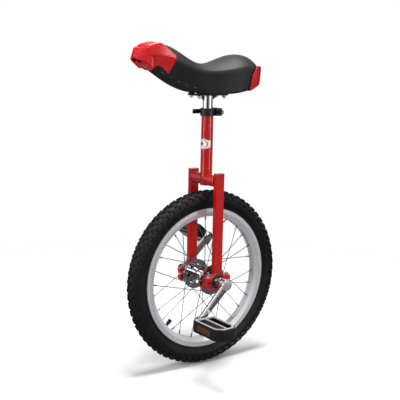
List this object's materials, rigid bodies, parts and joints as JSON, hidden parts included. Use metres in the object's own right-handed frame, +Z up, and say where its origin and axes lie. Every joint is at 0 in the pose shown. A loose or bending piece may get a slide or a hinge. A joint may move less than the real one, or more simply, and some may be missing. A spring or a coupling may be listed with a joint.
{
  "type": "unicycle",
  "caption": "Child-size unicycle with a knobbed tyre, a wire-spoked wheel on square-taper cranks, a red fork and a curved saddle with a quick-release height clamp.",
  "frame": {"origin": "where the tyre touches the ground, under the middle of the axle", "axes": "+X forward, the way the saddle's nose points; +Y to the rider's left, along the axle; +Z up"},
  "size_m": [0.457, 0.426, 0.825],
  "materials": {
    "tyre": "matte knobbed rubber",
    "rubber": "matte",
    "silver_rim": "bright, finely machined",
    "tape": "matte",
    "steel_wire": "satin",
    "brass": "nickel plated, bright",
    "chrome": "polished",
    "steel": "satin",
    "ball_steel": "polished",
    "red_paint": "gloss",
    "badge": "gloss printed film",
    "black_metal": "satin",
    "bolt": "zinc plated",
    "black_plastic": "satin",
    "grey_plastic": "satin",
    "amber": "clear moulded prisms",
    "vinyl": "matte grained vinyl",
    "foam": "open foam",
    "red_plastic": "gloss"
  },
  "bodies": {
    "frame": {"neck_tube": "red_paint", "neck_badge": "badge", "crown_tubes": "red_paint", "fork_leg_left": "red_paint", "fork_leg_right": "red_paint", "leg_top_caps": "red_paint", "bearing_housings": "red_paint", "bearing_caps": "red_paint", "housing_bolts": "bolt", "housing_nuts": "bolt", "bearing_outer_races": "ball_steel", "bearing_seals": "rubber", "seat_clamp_collar": "black_metal", "clamp_skewer": "steel", "clamp_nut": "black_metal", "clamp_cam_pin": "steel"},
    "wheel": {"tyre": "tyre", "inner_tube": "rubber", "valve_stem": "rubber", "valve_cap": "black_plastic", "rim_tape": "tape", "rim": "silver_rim", "rim_joint_sleeve": "silver_rim", "spokes": "steel_wire", "spoke_nipples": "brass", "hub_barrel": "chrome", "hub_flanges": "chrome", "axle": "steel", "bearing_spacers": "steel", "bearing_inner_races": "ball_steel", "crank_left": "chrome", "crank_right": "chrome", "crank_nuts": "bolt", "crank_dust_caps": "chrome", "pedal_spindles": "steel"},
    "left_ball_cage": {"bearing_balls_left": "ball_steel", "ball_cage_left": "steel"},
    "right_ball_cage": {"bearing_balls_right": "ball_steel", "ball_cage_right": "steel"},
    "clamp_lever": {"clamp_lever": "black_metal"},
    "post_plug": {"post_end_plug": "black_plastic"},
    "seat": {"seat_post": "chrome", "post_bracket": "black_metal", "saddle_base": "black_plastic", "saddle_foam": "foam", "saddle_cover": "vinyl", "saddle_fixings": "bolt", "front_bumper": "red_plastic", "rear_bumper": "red_plastic", "bumper_screws": "bolt"},
    "left_pedal": {"pedal_body_left": "black_plastic", "pedal_plates_left": "grey_plastic", "pedal_reflectors_left": "amber", "pedal_end_cap_left": "black_plastic", "pedal_bushes_left": "steel"},
    "right_pedal": {"pedal_body_right": "black_plastic", "pedal_plates_right": "grey_plastic", "pedal_reflectors_right": "amber", "pedal_end_cap_right": "black_plastic", "pedal_bushes_right": "steel"}
  },
  "joints": [
    {"name": "wheel_spin", "type": "hinge", "parent": "frame", "child": "wheel", "pos_m": [0, 0, 0.2285], "axis": [0, 1, 0], "continuous": true},
    {"name": "left_pedal_spin", "type": "hinge", "parent": "wheel", "child": "left_pedal", "pos_m": [0.08061, 0.16, 0.14789], "axis": [0, 1, 0], "continuous": true},
    {"name": "right_pedal_spin", "type": "hinge", "parent": "wheel", "child": "right_pedal", "pos_m": [-0.08061, -0.16, 0.30911], "axis": [0, 1, 0], "continuous": true},
    {"name": "left_cage_roll", "type": "hinge", "parent": "frame", "child": "left_ball_cage", "pos_m": [0, 0.0544, 0.2285], "axis": [0, 1, 0], "continuous": true},
    {"name": "right_cage_roll", "type": "hinge", "parent": "frame", "child": "right_ball_cage", "pos_m": [0, -0.0544, 0.2285], "axis": [0, 1, 0], "continuous": true},
    {"name": "lever_swing", "type": "hinge", "parent": "frame", "child": "clamp_lever", "pos_m": [-0.025, -0.02505, 0.6545], "axis": [0, 0, -1], "range_deg": [0, 170]},
    {"name": "post_slide", "type": "slide", "parent": "frame", "child": "post_plug", "axis": [0, 0, 1], "range_m": [-0.018, 0.085]},
    {"name": "seat_swivel", "type": "hinge", "parent": "post_plug", "child": "seat", "pos_m": [0, 0, 0.5], "axis": [0, 0, 1], "continuous": true}
  ],
  "couplings": [
    {"joint": "left_cage_roll", "follows": "wheel_spin", "ratio": 0.3816},
    {"joint": "right_cage_roll", "follows": "wheel_spin", "ratio": 0.3816}
  ]
}
